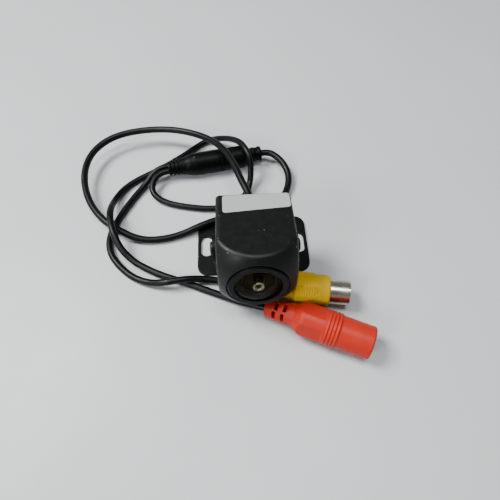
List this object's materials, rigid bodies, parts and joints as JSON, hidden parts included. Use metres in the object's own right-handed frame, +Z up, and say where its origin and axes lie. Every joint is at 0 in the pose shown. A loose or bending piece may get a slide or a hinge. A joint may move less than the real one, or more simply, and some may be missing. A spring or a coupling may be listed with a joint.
{
  "type": "backup camera",
  "caption": "Square backup camera with a domed nose, tilting in a slotted U bracket, with a moulded lead, an inline connector, a video jack and a power jack.",
  "frame": {"origin": "centre of the bracket plate's underside, midway between its two slots", "axes": "+Z up from the mounting surface, the lens looks along -Y, +X along the bracket plate's long side"},
  "size_m": [0.1054, 0.1048, 0.0323],
  "materials": {
    "housing_plastic": "satin",
    "bezel_plastic": "satin",
    "front_glass": "coated dark glass",
    "inner_glass": "coated glass",
    "filter_glass": "blue-green filter glass",
    "black_aluminium": "black anodised",
    "holder_plastic": "matt",
    "soft_rubber": "matt",
    "label_white": "semi-gloss blank film",
    "black_screw": "black oxide",
    "steel": "bright",
    "brass": "turned",
    "spacer_nylon": "matt",
    "board_green": "solder mask",
    "sensor_grey": "semi-gloss",
    "bracket_paint": "black powder coat",
    "cord_pvc": "satin cable jacket",
    "connector_pvc": "satin moulding",
    "insert_plastic": "matt",
    "contact_gold": "gold flash",
    "red_pvc": "satin moulding",
    "yellow_pvc": "satin moulding",
    "nickel": "nickel plated",
    "insulator_white": "moulded"
  },
  "bodies": {
    "bracket": {"bracket": "bracket_paint", "camera_lead": "cord_pvc", "camera_lead_end": "cord_pvc", "camera_lead_start": "cord_pvc", "inline_socket_body": "connector_pvc", "inline_socket_contacts": "contact_gold", "inline_socket_insert": "insert_plastic", "power_jack_body": "red_pvc", "power_jack_insulator": "insulator_white", "power_jack_pin": "nickel", "power_jack_sleeve": "nickel", "power_jack_spring": "steel", "power_tail": "cord_pvc", "power_tail_end": "cord_pvc", "splitter_boot": "connector_pvc", "video_jack_body": "yellow_pvc", "video_jack_contact": "contact_gold", "video_jack_insulator": "insulator_white", "video_jack_shell": "nickel", "video_tail": "cord_pvc"},
    "camera": {"front_housing": "housing_plastic", "rear_cover": "housing_plastic", "rear_gasket": "soft_rubber", "cover_screws": "black_screw", "label": "label_white", "lens_bezel": "bezel_plastic", "front_lens": "front_glass", "lens_seal_ring": "soft_rubber", "lens_barrel": "black_aluminium", "retaining_ring": "black_aluminium", "second_lens": "inner_glass", "third_lens": "inner_glass", "iris_ring": "black_aluminium", "rear_lens": "inner_glass", "lens_spacers": "black_aluminium", "lens_holder": "holder_plastic", "ir_filter": "filter_glass", "image_sensor": "sensor_grey", "sensor_board": "board_green", "processor_board": "board_green", "board_spacers": "brass", "board_screws": "steel", "board_link": "holder_plastic", "processor_chip": "holder_plastic", "board_components": "sensor_grey", "cable_header": "holder_plastic", "lead_cores": "cord_pvc", "cable_gland": "soft_rubber", "lead_jacket_end": "cord_pvc", "cable_clamp": "spacer_nylon", "pivot_inserts": "brass", "friction_spacers": "spacer_nylon", "pivot_screws": "black_screw"},
    "inline_plug": {"inline_plug_body": "connector_pvc", "inline_plug_insert": "insert_plastic", "inline_plug_pins": "contact_gold", "inline_plug_seal": "soft_rubber"}
  },
  "joints": [
    {"name": "camera_tilt", "type": "hinge", "parent": "bracket", "child": "camera", "pos_m": [0, -0.012, 0.0183], "axis": [1, 0, 0], "range_deg": [-36.2, 8.8], "deforming": ["camera_lead_start"]},
    {"name": "inline_plug_pull", "type": "slide", "parent": "bracket", "child": "inline_plug", "axis": [0.9848, 0.1736, 0], "range_m": [0, 0.0085], "deforming": ["camera_lead_end"]}
  ]
}
